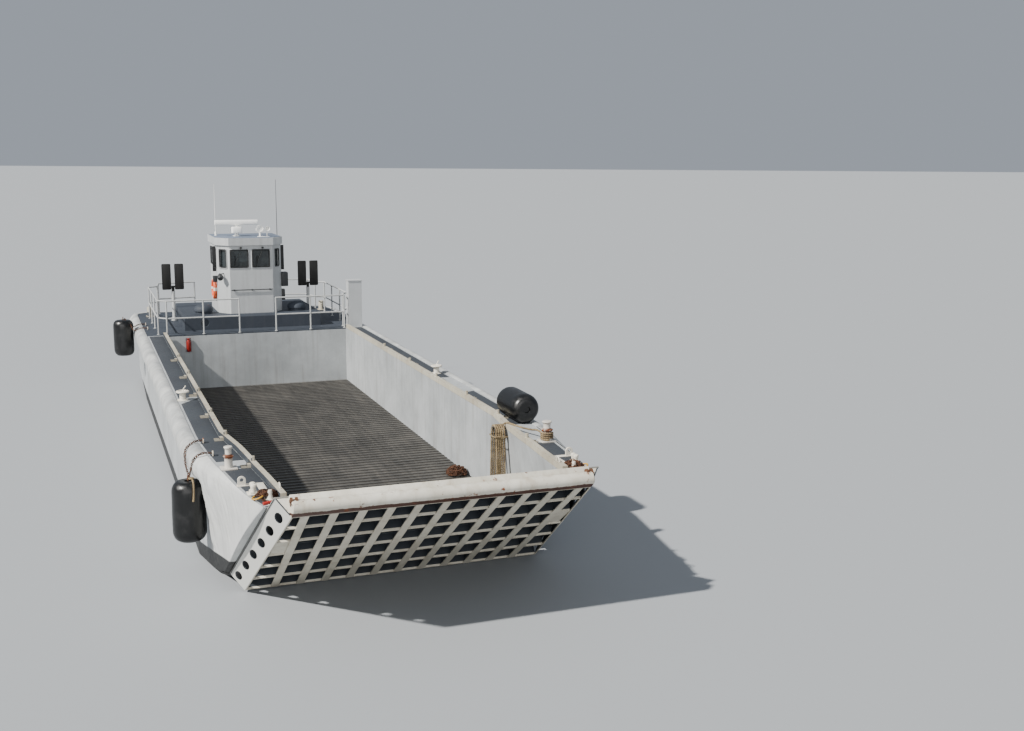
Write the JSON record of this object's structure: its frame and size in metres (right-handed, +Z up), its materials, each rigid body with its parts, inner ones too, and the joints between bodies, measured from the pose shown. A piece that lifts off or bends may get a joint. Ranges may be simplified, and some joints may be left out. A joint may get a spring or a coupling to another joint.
{
  "type": "military landing craft",
  "caption": "Steel landing craft with an open load well, hinged bow ramp, flat decked sides and a pilothouse aft.",
  "frame": {"origin": "on the flat bottom, amidships, on the centre line", "axes": "+X forward to the bow ramp, +Y to port, +Z up; at rest the ramp is closed and the craft stands on its flat bottom"},
  "size_m": [22.6231, 6.9745, 6.98],
  "materials": {
    "hull_paint": "matt light grey marine paint, streaked with rust",
    "bottom_paint": "dull black bottom paint",
    "deck_paint": "coarse non-skid blue-grey deck paint",
    "worn_floor": "worn steel with the last of its dark paint",
    "ramp_paint": "grey paint, worn and rusty",
    "white_paint": "white gloss paint, weathered",
    "black_paint": "satin black paint",
    "window_pane": "dark tinted window glass",
    "fender_rubber": "black rubber, scuffed",
    "rope_fibre": "laid natural-coloured mooring rope",
    "ring_foam": "orange foam life ring",
    "bronze": "cast bronze, dulled by the sea",
    "bare_steel": "greased bare steel",
    "engine_paint": "grey-green engine enamel"
  },
  "bodies": {
    "root": {"hull_bottom": "bottom_paint", "after_hull": "hull_paint", "after_deck": "deck_paint", "well_bulkhead": "hull_paint", "well_floor": "worn_floor", "guard_stern": "hull_paint", "engine_trunk": "deck_paint", "house_walls": "hull_paint", "house_glass": "window_pane", "house_roof": "hull_paint", "radar_pedestal": "white_paint", "searchlight_base": "hull_paint", "whip_stbd": "white_paint", "whip_port": "black_paint", "port_locker": "hull_paint", "life_ring": "ring_foam", "fender_fore": "fender_rubber", "fender_aft": "fender_rubber", "fender_port": "fender_rubber", "hinge_shaft": "bare_steel", "rope_hank": "rope_fibre", "rope_turns": "rope_fibre", "rope_lead": "rope_fibre", "wing_stbd": "hull_paint", "wing_port": "hull_paint", "guard_stbd": "hull_paint", "guard_port": "hull_paint", "coaming_stbd": "hull_paint", "coaming_port": "hull_paint", "rails_stbd": "hull_paint", "rails_port": "hull_paint", "dome_vent_stbd": "deck_paint", "dome_vent_port": "deck_paint", "shield_post_stbd": "hull_paint", "shield_post_port": "hull_paint", "bollard_stbd": "hull_paint", "bollard_port": "hull_paint", "bow_gear_stbd": "white_paint", "bow_gear_port": "white_paint", "bitt_stbd": "hull_paint", "bitt_port": "hull_paint", "mushroom_vent_stbd": "white_paint", "mushroom_vent_port": "white_paint", "engine_stbd": "engine_paint", "engine_port": "engine_paint"},
    "ramp": {"ramp_plate": "worn_floor", "ramp_frame": "ramp_paint", "ramp_beam": "white_paint"},
    "aft_hatch": {"aft_hatch_lid": "deck_paint"},
    "door": {"house_door": "hull_paint"},
    "radar": {"radar_array": "white_paint"},
    "searchlight": {"searchlight_head": "white_paint"},
    "shield_stbd": {"shield_head_stbd": "black_paint"},
    "shield_port": {"shield_head_port": "black_paint"},
    "rudder_stbd": {"rudder_stbd": "bottom_paint"},
    "rudder_port": {"rudder_port": "bottom_paint"},
    "screw_stbd": {"screw_stbd": "bronze"},
    "screw_port": {"screw_port": "bronze"}
  },
  "joints": [
    {"name": "ramp_hinge", "type": "hinge", "parent": "root", "child": "ramp", "pos_m": [8.03906, 0, 1.14962], "axis": [0, 1, 0], "range_deg": [0, 50]},
    {"name": "aft_hatch_hinge", "type": "hinge", "parent": "root", "child": "aft_hatch", "pos_m": [-10.318, 0, 3.016], "axis": [0, 1, 0], "range_deg": [0, 100]},
    {"name": "door_hinge", "type": "hinge", "parent": "root", "child": "door", "pos_m": [-9.115, 0.35, 4.15], "axis": [0, 0, -1], "range_deg": [0, 110]},
    {"name": "radar_turn", "type": "hinge", "parent": "root", "child": "radar", "pos_m": [-8, -0.26, 5.7], "axis": [0, 0, 1], "continuous": true},
    {"name": "searchlight_pan", "type": "hinge", "parent": "root", "child": "searchlight", "pos_m": [-7.5, 0.33, 5.54], "axis": [0, 0, 1], "range_deg": [-170, 170]},
    {"name": "shield_stbd_turn", "type": "hinge", "parent": "root", "child": "shield_stbd", "pos_m": [-9.2, -1.99, 3.8], "axis": [0, 0, 1], "range_deg": [-90, 90]},
    {"name": "shield_port_turn", "type": "hinge", "parent": "root", "child": "shield_port", "pos_m": [-9.2, 1.99, 3.8], "axis": [0, 0, 1], "range_deg": [-90, 90]},
    {"name": "rudder_stbd_turn", "type": "hinge", "parent": "root", "child": "rudder_stbd", "pos_m": [-10.75, -1.35, 0.9], "axis": [0, 0, 1], "range_deg": [-35, 35]},
    {"name": "rudder_port_turn", "type": "hinge", "parent": "root", "child": "rudder_port", "pos_m": [-10.75, 1.35, 0.9], "axis": [0, 0, 1], "range_deg": [-35, 35]},
    {"name": "screw_stbd_turn", "type": "hinge", "parent": "root", "child": "screw_stbd", "pos_m": [-9.5, -1.35, 0.5], "axis": [1, 0, 0], "continuous": true},
    {"name": "screw_port_turn", "type": "hinge", "parent": "root", "child": "screw_port", "pos_m": [-9.5, 1.35, 0.5], "axis": [1, 0, 0], "continuous": true}
  ],
  "couplings": [
    {"joint": "rudder_port_turn", "follows": "rudder_stbd_turn", "ratio": 1}
  ]
}
